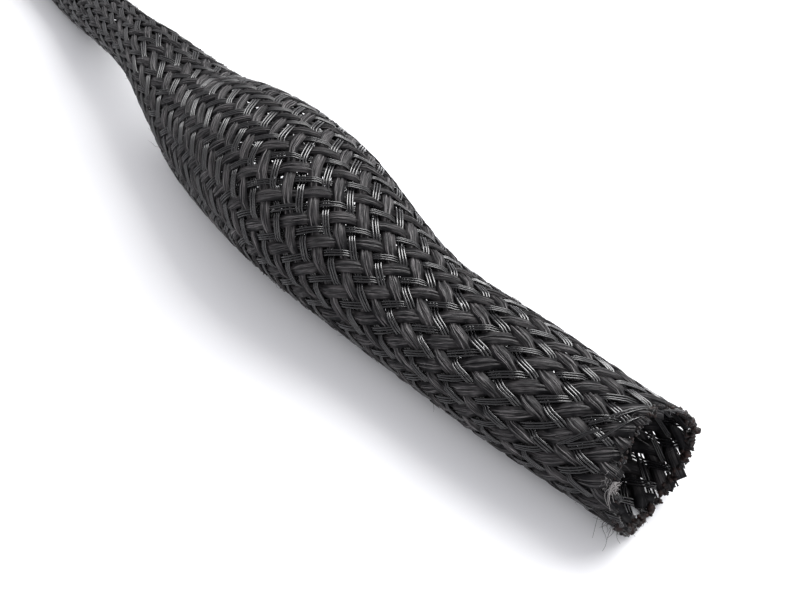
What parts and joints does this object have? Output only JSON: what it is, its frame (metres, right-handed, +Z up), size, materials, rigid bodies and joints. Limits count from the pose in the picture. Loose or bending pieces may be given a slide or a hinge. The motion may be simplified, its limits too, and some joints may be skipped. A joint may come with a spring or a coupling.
{
  "type": "braided cable sleeve",
  "caption": "Black expandable braided cable sleeve, one cut length: open mouth, bulged then narrow run, and the rest coiled flat.",
  "frame": {"origin": "middle of the whole sleeve's box, on the surface it rests on", "axes": "+X along the run towards the open cut end, +Z up from the surface"},
  "size_m": [0.2328, 0.1334, 0.02],
  "materials": {
    "monofilament": "glossy black round plastic threads",
    "yarn": "matt fluffy black-brown multifilament yarn"
  },
  "bodies": {
    "root": {"sleeve_run": "monofilament", "sleeve_coil": "yarn"}
  },
  "joints": []
}
